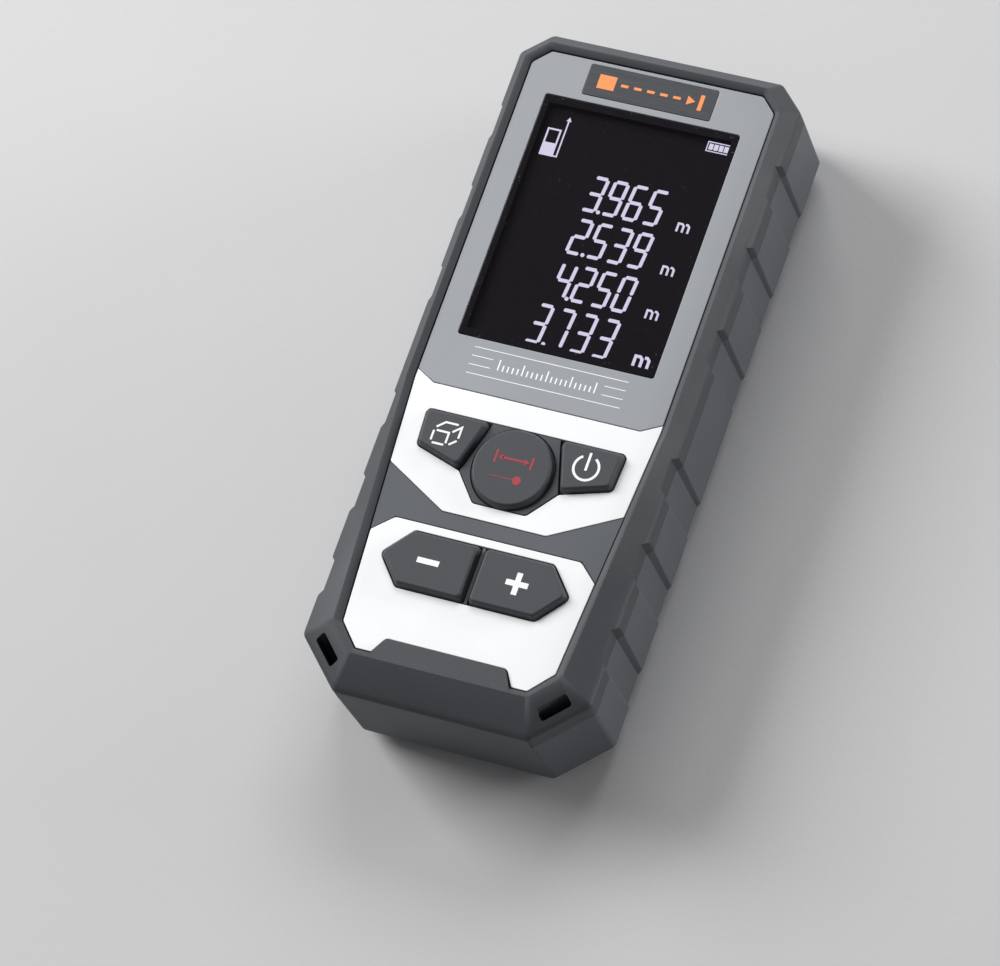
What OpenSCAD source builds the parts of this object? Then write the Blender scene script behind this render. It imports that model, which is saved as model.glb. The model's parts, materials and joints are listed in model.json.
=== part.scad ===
// Laser distance meter: a two-part case with a display, five keys, the optics at the +Y end
// and two cells under a sliding cover. It lies on its back: +Z comes out of the display and
// +Y is where the beam leaves. The origin is at the middle of the rear rest face. Millimetres.

/* [Body] */
// Length of the case, between its two end faces
body_l = 118; // [117.6:0.1:118.4]
// Width of the case at the bottom corners
body_w = 50; // [49.8:0.1:50.4]
// Height of the front panel's face above the rear rest face
panel_z = 24; // [24:0.1:24.6]
// Height of the frame's ridge above the panel's face
ridge_h = 0.7; // [0.4:0.1:1]
// Depth of the bevel that runs round the rear face
rear_bevel = 3.25; // [2.8:0.05:3.4]

/* [Grip troughs] */
// Depth of each trough in the side walls
trough_d = 1; // [0.6:0.1:1.1]
// Width of a trough's floor
trough_w = 5.2; // [4:0.1:6]
// Distance between troughs of one group of three
trough_pitch = 14.9; // [13:0.1:15.5]
// Gap that the two groups leave, middle to middle
trough_gap = 22.9; // [20:0.1:24]

/* [Front face] */
// Thickness of the inlaid fascias and of the display bezel
inlay_t = 1.1; // [0.9:0.1:1.2]
// Thickness of the deck that the inlays lie on
deck_t = 1.2; // [1:0.1:1.3]
// Gap between the frame and the inlays
inlay_gap = 0.25; // [0.15:0.05:0.35]

/* [Display] */
// Width of the display window
window_w = 34.3; // [33:0.1:34.5]
// Height of the display window
window_h = 44.15; // [43:0.05:44.5]
// Middle of the display window along Y
window_y = 25.7; // [25.4:0.1:26]

/* [Keys] */
// Height of the key tops above the panel's face
key_h = 1.2; // [0.9:0.1:1.4]
// Distance that a key travels when it is pressed
key_travel = 0.8; // [0.5:0.05:0.8]
// Gap between a key and the opening around it
key_gap = 0.15; // [0.12:0.01:0.2]
// Radius of the round measure key
measure_r = 6.85; // [6.5:0.05:6.85]
// Middle of the measure key along Y
measure_y = -16.85; // [-16.9:0.05:-16.7]

/* [Cells] */
// Diameter of an AAA cell
cell_d = 10.5; // [10:0.1:10.5]
// Length of an AAA cell with its nub
cell_l = 44.5; // [43.5:0.1:44.5]

/* [Tripod thread] */
// Radius of the bore of the 1/4 inch camera thread
thread_r = 2.6; // [2.5:0.05:2.7]
// Depth of the camera thread's bore
thread_depth = 7; // [5:0.5:8]

/* [Optics] */
// Radius of the receiver's aperture
receiver_r = 5.4; // [4.5:0.1:5.4]
// Radius of the laser's aperture
laser_r = 2.4; // [1.5:0.1:2.4]

/* [Hidden] */
$fn = 48;

// Colours
c_rubber = "#3d4043";
c_key = "#494c50";
c_white = "#f2f3f4";
c_grey = "#9aa0a3";
c_metal = "#c4c6c8";
c_board = "#1f6b3a";

// Heights
half_l = body_l / 2;
half_w = body_w / 2;
ridge_z = panel_z + ridge_h;
part_z = panel_z - 5.65;          // parting line between the frame and the rear shell
frame_edge_z = panel_z - 2.3;     // outer edge of the frame's bevel
edge_reach = 0.5;                 // how far the rounding of that edge reaches up and down
edge_steps = 4;
lip_z = panel_z - 2.9;            // underside of the frame at the bottom end
deck_z = panel_z - inlay_t;       // top of the housing's deck
deck_low_z = deck_z - deck_t;
key_top_z = panel_z + key_h;
joint_gap = 0.05;                 // gap at the parting line
board_top_z = 17.8;
board_t = 1.2;
board_low_z = board_top_z - board_t;

// Outlines: right half from the top down, and the radius of each corner. All the outlines of
// the frame's loft have the same corners, so that the rings match.
outer_half = [[20.2, half_l], [half_w - 0.25, half_l - 4.2], [half_w - 0.13, -5],
              [half_w, 7.9 - half_l], [16.9, -half_l]];
ridge_half = [[19.05, 56.4], [22.42, 53.15], [22.45, -5], [19.75, -48.5], [15.4, -52.95]];
panel_half = [[18.6, 55.2], [21.3, 52.6], [21.35, -5], [18.35, -48], [14.8, -51.85]];
outer_r = [1.2, 1.2, 1.4, 1.4];
ridge_r = [1, 1, 1.2, 1.2];
panel_r = [0.8, 1, 0.6, 0.6];
seal_half = [outer_half[0], outer_half[1], outer_half[2], outer_half[3] + [0, 3.3], outer_half[4] - [3.4, 0]];
deck_half = [outer_half[0], outer_half[1], outer_half[2], outer_half[3] + [0, 2.15],
             outer_half[4] + [-0.3, 1.9]];
bezel_low = [[21.33, -3.6], [18, -5.4]];
band_up = [[20.28, -20.15], [9, -26.25]];
band_low = [[16.1, -29.1], [19.42, -32.05]];
tongue_half = [[10.3, -49.25], [12.3, -52.95]];
seam = 0.12;                      // gap between neighbouring inlays

// Keys: outlines and stems
side_key = [[6.15, -10.05], [17.3, -10.05], [16.9, -16.35], [8.8, -18.85]];
side_lug = [[9.5, -9.4], [18, -9.4], [17.6, -16.9], [9.5, -19.3]];
low_key = [[0.45, -30.65], [12, -30.65], [16.25, -35.5], [12, -40.35], [0.45, -40.35]];
low_lug = [[2, -30], [12.3, -30], [17.2, -35.5], [12.3, -41], [2, -41]];
upper_opening = [[17.5, -9.85], [17.1, -16.5], [8.7, -19.05], [4.65, -23.85]];
lower_opening = [[12.1, -30.45], [16.5, -35.5], [12.1, -40.55]];
plateau_half = [[5.85, -9.97], [8.55, -19], [4.55, -23.73]];
key_draft = 0.3;
key_edge = 0.25;                  // height and inset of the rounding at a key's top edge
lug_t = 0.7;
lug_top_z = deck_low_z - 0.05;
side_stem = [12, -14];
low_stem = [7.7, -35.5];
stem_r = 1.6;
pill_t = 0.4;
pill_r = 1.5;
pill_low_z = board_top_z + key_travel + 0.03;

// Case
wall_top = 2.3;                   // wall above the seal's ledge
wall_low = 3.2;                   // wall below it
floor_t = 2.2;
ledge_z = 17.6;
skirt_t = 2;
end_half = 16.7;                  // half width of the raised bottom end wall
slot_at = [19.6, -53.05];
slot_size = [5.5, 1.9];
case_screw_at = [[19.4, 49.5], [-19.4, 49.5], [19.2, -42], [-19.2, -42]];
board_screw_at = [[17.5, 24], [-17.5, 24], [17.5, -22], [-17.5, -22]];
optics_screw_at = [[17.6, 42], [-17.6, 42]];
screw_seat_z = 12;

// Battery bay
bay_w = 22.4;
bay_low = -52.6;
bay_high = bay_low + cell_l + 3.1;
bay_top_z = 12.7;
bay_wall = 1.5;
cell_x = 5.6;
cell_z = 1.9 + cell_d / 2;
contact_t = 0.3;
cover_w = 27.2;
cover_t = 1.6;
cover_high = bay_high + 1.8;
cover_gap = 0.15;
rail_w = 0.8;
rail_z = [0.6, 1.2];
arrow_y = -33;                    // shoulder of the arrow that points the way the cover slides

// Optics
insert_r = 4.6;
insert_y = 3;
laser_x = -9.5;
receiver_x = 5;
axis_z = 10.8;
barrel_r = 3.4;
lens_r = receiver_r + 0.8;
chassis_y = [35.2, 54.4];
plate_y = [56.4, 58.5];
window_t = 0.9;

// Display
ledge_w = 0.5;                    // ledge of the deck that the window rests on
glass_w = window_w - 2 * ledge_w - 0.2;
glass_h = window_h - 1.8;
tray_wall = 0.55;

// --- geometry helpers ---------------------------------------------------------------------

function unit(v) = v / norm(v);
function flip(list) = [for (i = [len(list) - 1 : -1 : 0]) list[i]];
function mirrored(half) = concat(half, [for (p = flip(half)) [-p[0], p[1]]]);
function to_left(pts) = [for (p = flip(pts)) [-p[0], p[1]]];
function both(r) = concat(r, flip(r));

// One corner p between a and b, as an arc of n steps, or the bare point if r is 0
function corner(a, p, b, r, n) =
    let (u = unit(a - p), v = unit(b - p), half = acos(u * v) / 2,
         c = p + unit(u + v) * r / sin(half),
         s = p + u * r / tan(half) - c,
         e = p + v * r / tan(half) - c,
         start = atan2(s[1], s[0]),
         turn = ((atan2(e[1], e[0]) - start + 540) % 360) - 180)
    r == 0 ? [p] : [for (i = [0 : n]) c + r * [cos(start + turn * i / n), sin(start + turn * i / n)]];

// An outline with its corners rounded; r is one radius or one for each corner
function rounded(pts, r, n = 4) =
    let (m = len(pts))
    [for (i = [0 : m - 1])
        each corner(pts[(i + m - 1) % m], pts[i], pts[(i + 1) % m], is_list(r) ? r[i] : r, n)];

// A clockwise outline with each edge moved inward by d
function meet(p, t, q, u) = p + t * cross(q - p, u) / cross(t, u);
function inset(pts, d) =
    let (m = len(pts))
    [for (i = [0 : m - 1])
        let (a = pts[(i + m - 1) % m], p = pts[i], b = pts[(i + 1) % m],
             t = unit(p - a), u = unit(b - p),
             nt = [t[1], -t[0]] * d, nu = [u[1], -u[0]] * d)
        abs(cross(t, u)) < 1e-6 ? p + nt : meet(p + nt, t, p + nu, u)];

function at_z(pts, z) = [for (p = pts) [p[0], p[1], z]];

// A whole outline from its right half, with steps down the long tapered side so that a bevel
// between two outlines turns evenly
function stepped(half) =
    concat([half[0], half[1]], [for (i = [0 : 3]) half[2] + (half[3] - half[2]) * i / 4], [half[3], half[4]]);
function outline(half, radii, d) =
    rounded(inset(mirrored(stepped(half)), d), both([radii[0], radii[1], 0, 0, 0, 0, radii[2], radii[3]]), 3);
function outer(d) = outline(outer_half, [for (r = outer_r) max(r - d / 3, 0.4)], d);
function deck_line(d) = outline(deck_half, [for (r = outer_r) max(r - d / 3, 0.4)], d);
function seal_line(d) = outline(seal_half, [0.6, 0.6, 1, 1], d);

// Triangles between neighbouring rings, split the mirrored way on the left side
function sides(rings) =
    let (m = len(rings[0]))
    [for (k = [0 : len(rings) - 2], j = [0 : m - 1])
        let (n = (j + 1) % m, a = k * m + j, c = k * m + n, b = a + m, d = c + m)
        each rings[k][j][0] + rings[k][n][0] > 0 ? [[a, c, d], [a, d, b]] : [[a, c, b], [c, d, b]]];

// A solid through rings that go up
module loft(rings) {
    m = len(rings[0]);
    last = (len(rings) - 1) * m;
    polyhedron(points = [for (r = rings) each r],
               faces = concat(sides(rings), [[for (j = [m - 1 : -1 : 0]) j]],
                              [[for (j = [0 : m - 1]) last + j]]));
}

// An outline between two heights
module slab(pts, z0, z1) {
    translate([0, 0, z0]) linear_extrude(z1 - z0) polygon(pts);
}

// A box between two corners
module block(a, b) {
    translate(a) cube(b - a);
}

// A cylinder along +Y that starts at y
module y_rod(x, y, z, r, l) {
    translate([x, y, z]) rotate([-90, 0, 0]) cylinder(r = r, h = l);
}

// The same children at each of a list of places
module at_each(places) {
    for (p = places) translate([p[0], p[1], 0]) children();
}

// --- shared cutters -----------------------------------------------------------------------

module troughs() {
    ys = [for (g = [-1, 1], i = [0 : 2]) 0.45 + g * (trough_gap / 2 + i * trough_pitch)];
    half = trough_w / 2;
    floor_x = half_w - trough_d;
    for (s = [-1, 1], y = ys)
        mirror([s < 0 ? 1 : 0, 0, 0]) translate([0, y, -1]) linear_extrude(panel_z + 4)
            polygon([[floor_x, half], [half_w + 1, half + trough_d + 1],
                     [half_w + 1, -half - trough_d - 1], [floor_x, -half]]);
}

module lanyard_slots() {
    w = slot_size[0] / 2;
    h = slot_size[1] / 2;
    for (s = [-1, 1])
        translate([s * slot_at[0], slot_at[1], -1]) rotate([0, 0, s * 45])
            linear_extrude(panel_z + 4) polygon(rounded([[-w, h], [w, h], [w, -h], [-w, -h]], 0.45));
}

// --- case ---------------------------------------------------------------------------------

// The housing's outside. Its deck slopes at the bottom end, to stay under the frame's bevel.
module housing_block(d, z0, slope_z) {
    slab(outer(d), z0, slope_z);
    loft([at_z(outer(d), slope_z), at_z(deck_line(d), deck_z)]);
}

// Rings that turn the corner from the frame's upright side to the bevel up to the land
function soft_edge(land) =
    let (low = at_z(outer(0), frame_edge_z - edge_reach), corner = at_z(outer(0), frame_edge_z),
         high = corner + (at_z(land, ridge_z) - corner) * edge_reach / (ridge_z - frame_edge_z))
    [for (i = [0 : edge_steps])
        let (t = i / edge_steps)
        low * (1 - t) * (1 - t) + corner * 2 * t * (1 - t) + high * t * t];

module front_frame() {
    inner = outline(panel_half, panel_r, -inlay_gap);
    ridge = outline(ridge_half, ridge_r, 0);
    land = outline(ridge_half, ridge_r, -0.15);
    tongue = rounded(mirrored(tongue_half), [0.8, 0, 0, 0.8], 3);
    tongue_y = [tongue_half[0][1], tongue_half[1][1]];
    tongue_top = [for (p = tongue)
        [p[0], p[1], panel_z + ridge_h * (0.5 + 0.5 * (p[1] - tongue_y[0]) / (tongue_y[1] - tongue_y[0]))]];
    color(c_rubber) difference() {
        union() {
            difference() {
                loft(concat([at_z(outer(0), part_z)], soft_edge(land), [at_z(land, ridge_z)]));
                loft([at_z(inner, deck_z - 1), at_z(inner, panel_z + 0.1),
                      at_z(2 * ridge - inner, 2 * ridge_z - panel_z - 0.1)]);
            }
            loft([at_z(tongue, deck_z - 0.5), tongue_top]);
        }
        housing_block(skirt_t, part_z - 1, deck_low_z + 0.15);
        troughs();
        lanyard_slots();
        block([-end_half - 0.1, -half_l - 1, part_z - 1], [end_half + 0.1, skirt_t - half_l + 0.1, lip_z]);
    }
}

module front_housing() {
    screw_post_r = 2.8;
    color(c_rubber) difference() {
        union() {
            housing_block(skirt_t + joint_gap, deck_low_z, deck_low_z + 0.1);
            difference() {
                slab(outer(skirt_t + joint_gap), part_z, deck_low_z);
                slab(seal_line(wall_low + 0.1), part_z - 1, deck_low_z + 0.1);
            }
            at_each(case_screw_at) translate([0, 0, part_z]) cylinder(r = screw_post_r, h = deck_low_z - part_z);
            v_band();
            difference() {
                slab(rounded(mirrored(plateau_half), [0, 0.4, 0.9, 0.9, 0.4, 0]), deck_z, panel_z + 0.05);
                for (s = [-1, 1]) slab(key_hole(side_key, s), deck_z - 1, panel_z + 1);
            }
            block([-0.3, -40.4, deck_z], [0.3, -30.6, panel_z - 0.1]);
        }
        block([ledge_w - window_w / 2, window_y - window_h / 2 + ledge_w, deck_low_z - 1],
              [window_w / 2 - ledge_w, window_y + window_h / 2 - ledge_w, deck_z + 1]);
        for (s = [-1, 1]) {
            slab(key_hole(side_key, s), deck_low_z - 1, deck_z + 0.01);
            slab(key_hole(low_key, s), deck_low_z - 1, deck_z + 2);
        }
        translate([0, measure_y, deck_low_z - 1]) cylinder(r = measure_r + key_gap, h = 5, $fn = 96);
        at_each(case_screw_at) translate([0, 0, part_z - 1]) cylinder(r = 1.02, h = 3.9);
        lanyard_slots();
    }
}

// The dark band that parts the two white fascias
module v_band() {
    top = band_up[1][1] - seam;
    low = band_low[0][1] + seam;
    edge = inset(mirrored(panel_half), -0.05);
    intersection() {
        slab(edge, deck_z, panel_z - 0.05);
        slab(mirrored([[0, top], [band_up[1][0], top], [25, top + 8.7], [25, -36.9],
                       [band_low[0][0] + 0.05, low], [0, low]]), deck_z - 1, panel_z + 1);
    }
}

function key_hole(pts, s) =
    rounded(inset(s > 0 ? pts : to_left(pts), -key_gap), 0.9, 3);

module rear_shell() {
    color(c_rubber) difference() {
        union() {
            loft([at_z(outer(3), 0), at_z(outer(0.3), rear_bevel), at_z(outer(0), part_z - joint_gap)]);
            end_wall();
        }
        difference() {
            union() {
                slab(outer(wall_low), floor_t, ledge_z + 1);
                slab(outer(wall_top), ledge_z, part_z + 1);
            }
            shell_inside();
        }
        // battery bay, cover recess and rails
        block([-bay_w / 2, bay_low, -1], [bay_w / 2, bay_high, bay_top_z]);
        block([-cover_w / 2 - cover_gap, -half_l - 1, -1],
              [cover_w / 2 + cover_gap, cover_high + cover_gap, cover_t + 0.05]);
        block([-cover_w / 2 - rail_w - cover_gap, -half_l - 1, rail_z[0] - cover_gap],
              [cover_w / 2 + rail_w + cover_gap, cover_high - 2, rail_z[1] + cover_gap]);
        // fasteners
        at_each(case_screw_at) {
            translate([0, 0, -1]) cylinder(r = 2.25, h = screw_seat_z + 1);
            translate([0, 0, -1]) cylinder(r = 1.15, h = part_z + 2);
        }
        at_each(board_screw_at) translate([0, 0, 10]) cylinder(r = 0.82, h = 8);
        at_each(optics_screw_at) translate([0, 0, 1.2]) cylinder(r = 0.82, h = 4);
        translate([0, insert_y, -1]) cylinder(r = insert_r, h = thread_depth + 2);
        // optics window
        block([-16.5, half_l - 4, 4.2], [16.5, half_l + 1, 17.4]);
        troughs();
        lanyard_slots();
    }
}

// The raised wall at the bottom end, whose foot stays inside the loft
module end_wall() {
    y0 = -half_l;
    y1 = skirt_t - half_l;
    foot_z = part_z - 1;
    translate([-end_half, 0, 0]) rotate([90, 0, 90]) linear_extrude(2 * end_half)
        polygon([[y0, lip_z - joint_gap], [y1, lip_z - joint_gap], [y1, foot_z],
                 [y0 + 0.1, foot_z], [y0, part_z - joint_gap]]);
}

// What stands up inside the rear shell
module shell_inside() {
    block([-bay_w / 2 - bay_wall, -half_l, 0],
          [bay_w / 2 + bay_wall, bay_high + bay_wall, bay_top_z + bay_wall]);
    at_each(case_screw_at) cylinder(r = 3.2, h = ledge_z);
    at_each(board_screw_at) cylinder(r = 2.4, h = board_low_z);
    at_each(optics_screw_at) cylinder(r = 2.2, h = 4.2);
    translate([0, insert_y, 0]) cylinder(r = insert_r + 2, h = thread_depth + 2.8);
    for (s = [-1, 1])
        translate([s * slot_at[0], slot_at[1], 0]) rotate([0, 0, s * 45]) {
            block([-8, -6, 0], [8, slot_size[1] / 2 + 1.3, part_z - joint_gap]);
            block([-8, -6, 0], [8, slot_size[1] / 2 + 2.3, ledge_z]);
        }
}

module battery_cover() {
    rail_low = 10 - half_l;
    color(c_rubber) intersection() {
        difference() {
            union() {
                block([-cover_w / 2, -half_l - 1, 0], [cover_w / 2, cover_high, cover_t]);
                block([-cover_w / 2 - rail_w, rail_low, rail_z[0]],
                      [cover_w / 2 + rail_w, cover_high - 2.3, rail_z[1]]);
            }
            for (i = [0 : 5]) block([-6, -50 + 1.8 * i, -1], [6, -49 + 1.8 * i, 0.4]);
            translate([0, arrow_y, -1]) linear_extrude(1.35)
                polygon([[0, -3.2], [3, 0], [1.1, 0], [1.1, 4], [-1.1, 4], [-1.1, 0], [-3, 0]]);
        }
        loft([at_z(outer(3), 0), at_z(outer(0.3), rear_bevel)]);
    }
}

module case_seal() {
    color("#202224") difference() {
        slab(seal_line(wall_top + 0.05), ledge_z, part_z);
        slab(seal_line(wall_low - 0.1), ledge_z - 1, part_z + 1);
    }
}

module tripod_insert() {
    color("#b8903c") translate([0, insert_y, 0]) difference() {
        cylinder(r = insert_r, h = thread_depth + 1);
        translate([0, 0, -1]) cylinder(r = thread_r, h = thread_depth + 1);
    }
}

module screw(head_r, head_t, shank_r, shank_l) {
    difference() {
        union() {
            translate([0, 0, -head_t]) cylinder(r = head_r, h = head_t);
            cylinder(r = shank_r, h = shank_l);
        }
        for (a = [0, 90])
            rotate([0, 0, a]) block([-head_r * 0.62, -0.22, -head_t - 1], [head_r * 0.62, 0.22, -head_t * 0.4]);
    }
}

module case_screws() {
    color(c_metal) at_each(case_screw_at) translate([0, 0, screw_seat_z]) screw(2, 1.6, 1, 9);
}

module board_screws() {
    color(c_metal) at_each(board_screw_at)
        translate([0, 0, board_top_z]) mirror([0, 0, 1]) screw(1.6, 1.1, 0.8, 6);
}

module optics_screws() {
    color(c_metal) at_each(optics_screw_at)
        translate([0, 0, 6.2]) mirror([0, 0, 1]) screw(1.6, 1.1, 0.8, 4.6);
}

// --- front face ---------------------------------------------------------------------------

module display_bezel() {
    color(c_grey) difference() {
        slab(rounded(mirrored(concat([panel_half[0], panel_half[1]], bezel_low)), both([0.8, 1, 0, 0.3])),
             deck_z, panel_z);
        window_block(0, deck_z - 1, panel_z + 1);
        badge(0.05, panel_z - 0.55, panel_z + 1);
    }
}

module window_block(grow, z0, z1) {
    w = window_w / 2 + grow;
    h = window_h / 2 + grow;
    translate([0, window_y, 0]) slab(rounded([[-w, h], [w, h], [w, -h], [-w, -h]], 0.5), z0, z1);
}

module badge(grow, z0, z1) {
    w = 11.2 + grow;
    h = 2.75 + grow;
    translate([0, 51.75, 0]) slab(rounded([[-w, h], [w, h], [w, -h], [-w, -h]], 0.4), z0, z1);
}

module badge_plate() {
    color(c_key) badge(0, panel_z - 0.55, panel_z + 0.03);
}

module upper_fascia() {
    half = concat([[bezel_low[1][0], bezel_low[1][1] - seam], [bezel_low[0][0], bezel_low[0][1] - seam],
                   [panel_half[2][0], panel_half[2][1]]], band_up);
    color(c_white) difference() {
        slab(rounded(mirrored(half), both([0.3, 0, 0, 0.4, 1.2])), deck_z, panel_z);
        slab(rounded(mirrored(upper_opening), both([0.9, 0.9, 0.8, 1])), deck_z - 1, panel_z + 1);
    }
}

module lower_fascia() {
    half = concat(band_low, [panel_half[3], panel_half[4]],
                  [[12.1, panel_half[4][1]], [10.45, tongue_half[0][1] + 0.13]]);
    color(c_white) difference() {
        slab(rounded(mirrored(half), both([1.2, 0.4, 0.6, 0.6, 0.5, 0.9])), deck_z, panel_z);
        slab(rounded(mirrored(lower_opening), both([1, 1, 1])), deck_z - 1, panel_z + 1);
    }
}

module display_window() {
    color("#1c1a1f") window_block(-0.06, deck_z, panel_z - 0.05);
}

module display_panel() {
    color("#101014") block([-glass_w / 2, window_y - glass_h / 2, deck_low_z - 0.5],
                           [glass_w / 2, window_y + glass_h / 2, deck_z - 0.1]);
}

module backlight() {
    color("#e8e8f0") block([-glass_w / 2, window_y - glass_h / 2, deck_low_z - 1.6],
                           [glass_w / 2, window_y + glass_h / 2, deck_low_z - 0.5]);
}

module display_tray() {
    w = glass_w / 2 + tray_wall;
    h = glass_h / 2 + tray_wall;
    color("white") difference() {
        block([-w, window_y - h, deck_low_z - 2], [w, window_y + h, deck_low_z - 0.05]);
        block([-glass_w / 2 - 0.05, window_y - glass_h / 2 - 0.05, deck_low_z - 1.6],
              [glass_w / 2 + 0.05, window_y + glass_h / 2 + 0.05, deck_low_z + 1]);
        block([-7, window_y - h - 1, deck_low_z - 1.6], [7, window_y - glass_h / 2, deck_low_z + 1]);
    }
}

module display_flex() {
    y0 = window_y - window_h / 2 - 0.9;
    y1 = window_y - glass_h / 2 - 0.1;
    film = 0.2;
    color("#c07a2c") difference() {
        block([-6, y0, board_top_z], [6, y1, deck_low_z - 1.3]);
        block([-7, y0 + film, board_top_z + film], [7, y1 + 1, deck_low_z - 1.3 - film]);
    }
}

// --- keys ---------------------------------------------------------------------------------

module key_cap(pts) {
    body = rounded(pts, 0.8, 3);
    loft([at_z(body, lug_top_z - 0.1), at_z(body, panel_z),
          at_z(rounded(inset(pts, key_draft), 0.7, 3), key_top_z - key_edge),
          at_z(rounded(inset(pts, key_draft + key_edge), 0.6, 3), key_top_z)]);
}

module stem(at) {
    translate([at[0], at[1], pill_low_z + pill_t]) cylinder(r = stem_r, h = lug_top_z - pill_low_z - pill_t);
}

module edge_key(pts, lug, at, s) {
    color(c_key) {
        key_cap(s > 0 ? pts : to_left(pts));
        slab(rounded(s > 0 ? lug : to_left(lug), 0.8, 3), lug_top_z - lug_t, lug_top_z);
        stem([s * at[0], at[1]]);
    }
}

module key_function() edge_key(side_key, side_lug, side_stem, -1);
module key_power() edge_key(side_key, side_lug, side_stem, 1);
module key_minus() edge_key(low_key, low_lug, low_stem, -1);
module key_plus() edge_key(low_key, low_lug, low_stem, 1);

module key_measure() {
    color(c_key) {
        translate([0, measure_y, 0]) rotate_extrude($fn = 96)
            polygon([[0, lug_top_z - 0.1], [measure_r, lug_top_z - 0.1], [measure_r, panel_z],
                     [measure_r - key_draft, key_top_z - key_edge],
                     [measure_r - key_draft - key_edge, key_top_z], [0, key_top_z]]);
        block([-3.5, measure_y - measure_r - 0.7, lug_top_z - lug_t], [3.5, measure_y + measure_r + 0.7, lug_top_z]);
        stem([0, measure_y]);
    }
}

module pill(at) {
    color("#151515") translate([at[0], at[1], pill_low_z]) cylinder(r = pill_r, h = pill_t);
}

module pill_function() pill([-side_stem[0], side_stem[1]]);
module pill_power() pill(side_stem);
module pill_measure() pill([0, measure_y]);
module pill_minus() pill([-low_stem[0], low_stem[1]]);
module pill_plus() pill(low_stem);

module keypad_mat() {
    stems = [side_stem, [-side_stem[0], side_stem[1]], [0, measure_y], low_stem, [-low_stem[0], low_stem[1]]];
    color(c_key) difference() {
        union() {
            slab(rounded([[-15.3, -9.5], [15.3, -9.5], [15.3, -41], [-15.3, -41]], 2), board_top_z, board_top_z + 1);
            at_each(stems) translate([0, 0, board_top_z + 0.9]) cylinder(r1 = 3.8, r2 = 2.6, h = 1.3);
        }
        at_each(stems) translate([0, 0, board_top_z - 1]) cylinder(r = 2.1, h = 5);
    }
}

// --- electronics --------------------------------------------------------------------------

module main_board() {
    color(c_board) difference() {
        slab(rounded([[-20.6, 33], [20.6, 33], [20.6, -46], [-20.6, -46]], 1.5), board_low_z, board_top_z);
        at_each(case_screw_at) translate([0, 0, board_low_z - 1]) cylinder(r = 3.5, h = 4);
        at_each(board_screw_at) translate([0, 0, board_low_z - 1]) cylinder(r = 1.1, h = 4);
    }
}

module board_chips() {
    color("#1a1a1c") {
        block([-4.5, 10, board_low_z - 1.2], [4.5, 19, board_low_z]);
        block([8, 6, board_low_z - 1.1], [13, 12, board_low_z]);
        block([-14, 14, board_low_z - 1.6], [-9, 19, board_low_z]);
        block([-13, -0.5, board_low_z - 1.4], [-8, 3.5, board_low_z]);
        block([7, 20, board_low_z - 2.2], [12, 25, board_low_z]);
    }
}

module buzzer() {
    color("#141416") translate([-7, 26.5, board_low_z - 3.2]) difference() {
        cylinder(r = 4.5, h = 3.2);
        translate([0, 0, -1]) cylinder(r = 0.8, h = 2);
    }
}

// --- optics -------------------------------------------------------------------------------

module optics_chassis() {
    len_y = chassis_y[1] - chassis_y[0];
    color("#2b2d30") difference() {
        union() {
            block([-15, chassis_y[0], floor_t], [15.2, chassis_y[1], 17.4]);
            at_each(optics_screw_at) translate([0, 0, 4.2]) cylinder(r = 2.4, h = 2);
            for (s = [-1, 1]) block([s * 16 - 1.6, 39.6, 4.2], [s * 16 + 1.6, 44.4, 6.2]);
        }
        y_rod(receiver_x, chassis_y[0] - 1, axis_z, receiver_r, len_y + 2);
        y_rod(receiver_x, chassis_y[1] - 3, axis_z, lens_r + 0.05, 4);
        y_rod(laser_x, chassis_y[0] - 1, axis_z, barrel_r + 0.03, len_y + 2);
        block([-4.6, chassis_y[0] - 1, floor_t - 1], [-2, chassis_y[1] - 4, 14.4]);
        at_each(optics_screw_at) translate([0, 0, 3]) cylinder(r = 0.9, h = 5);
    }
}

module laser_barrel() {
    color("#b8903c") difference() {
        y_rod(laser_x, 38, axis_z, barrel_r, 17.5);
        y_rod(laser_x, 37, axis_z, 2.55, 20);
    }
}

module collimator_lens() {
    color("#cfe6f2") intersection() {
        y_rod(laser_x, 52, axis_z, 2.5, 2.2);
        translate([laser_x, 49.4, axis_z]) sphere(r = 4.8, $fn = 64);
    }
}

module laser_diode() {
    color("#b9bbbd") {
        y_rod(laser_x, 36.4, axis_z, 2.8, 1.55);
        y_rod(laser_x, 37.9, axis_z, 1.9, 3);
        for (a = [0, 120, 240])
            y_rod(laser_x + cos(a), 33.9, axis_z + sin(a), 0.22, 2.6);
    }
}

module receiver_lens() {
    color("#cfe6f2") intersection() {
        y_rod(receiver_x, chassis_y[1] - 2.95, axis_z, lens_r, 4);
        translate([receiver_x, chassis_y[1] - 11.2, axis_z]) sphere(r = 11.6, $fn = 96);
    }
}

module detector_board() {
    color(c_board) block([-2.5, 33.9, 3], [13.5, 34.9, 16.4]);
}

module photodiode() {
    color("#b9bbbd") {
        y_rod(receiver_x, 34.9, axis_z, 2.7, 0.5);
        y_rod(receiver_x, 35.35, axis_z, 2.3, 2.6);
    }
}

module end_plate() {
    color("#18191b") difference() {
        block([-16.4, plate_y[0], 4.3], [16.4, plate_y[1], 17.3]);
        y_rod(receiver_x, plate_y[0] - 1, axis_z, receiver_r, 4);
        y_rod(receiver_x, plate_y[0] - 1, axis_z, receiver_r + 0.65, 2);
        y_rod(laser_x, plate_y[0] - 1, axis_z, laser_r, 4);
        y_rod(laser_x, plate_y[0] - 1, axis_z, laser_r + 0.65, 2);
    }
}

module receiver_window() {
    color("#5a1f24") y_rod(receiver_x, plate_y[0] + 0.05, axis_z, receiver_r + 0.6, window_t);
}

module laser_window() {
    color("#9fb4bd") y_rod(laser_x, plate_y[0] + 0.05, axis_z, laser_r + 0.6, window_t);
}

// --- cells --------------------------------------------------------------------------------

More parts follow.
